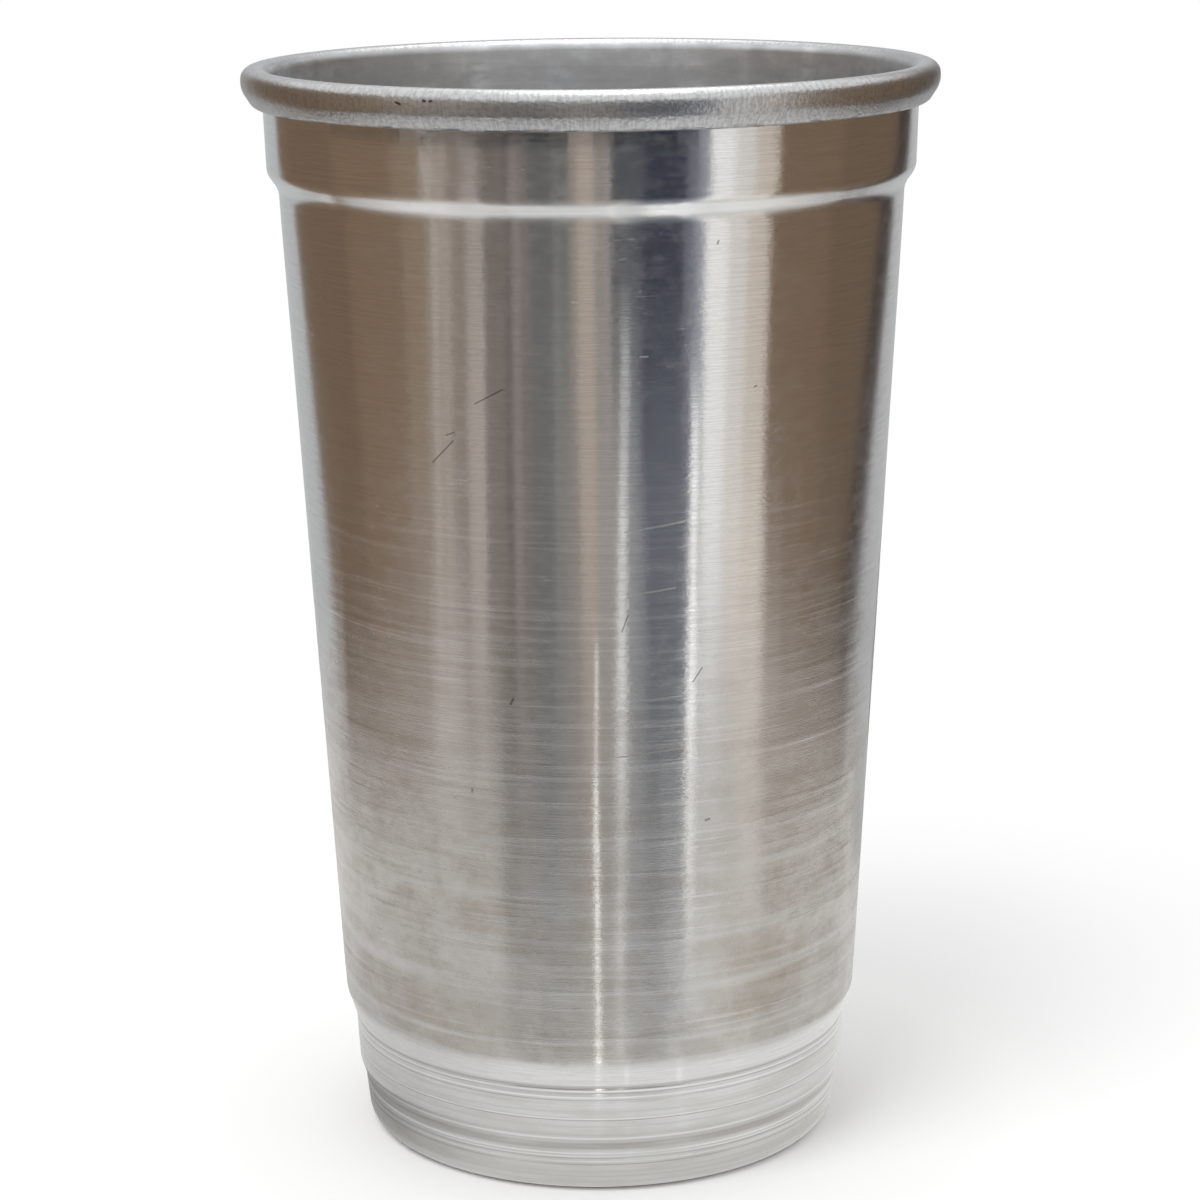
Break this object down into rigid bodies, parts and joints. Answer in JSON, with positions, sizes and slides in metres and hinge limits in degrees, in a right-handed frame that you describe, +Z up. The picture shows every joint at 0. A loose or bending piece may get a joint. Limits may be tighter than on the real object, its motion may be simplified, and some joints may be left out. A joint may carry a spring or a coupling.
{
  "type": "tumbler",
  "caption": "Tapered aluminium drinking tumbler with a rolled, wired rim, a plain collar over a shoulder, and a stepped foot with a hollow base.",
  "frame": {"origin": "centre of the foot, at the level of the table that the tumbler stands on", "axes": "+Z up along the tumbler's axis towards the open mouth; X and Y are free, because every piece is round"},
  "size_m": [0.08, 0.08, 0.127],
  "materials": {
    "aluminium_sheet": "spun and brushed round, polished wall, satin rim and foot",
    "aluminium_wire": "plain drawn wire"
  },
  "bodies": {
    "root": {"tumbler_shell": "aluminium_sheet", "rim_wire": "aluminium_wire"}
  },
  "joints": []
}
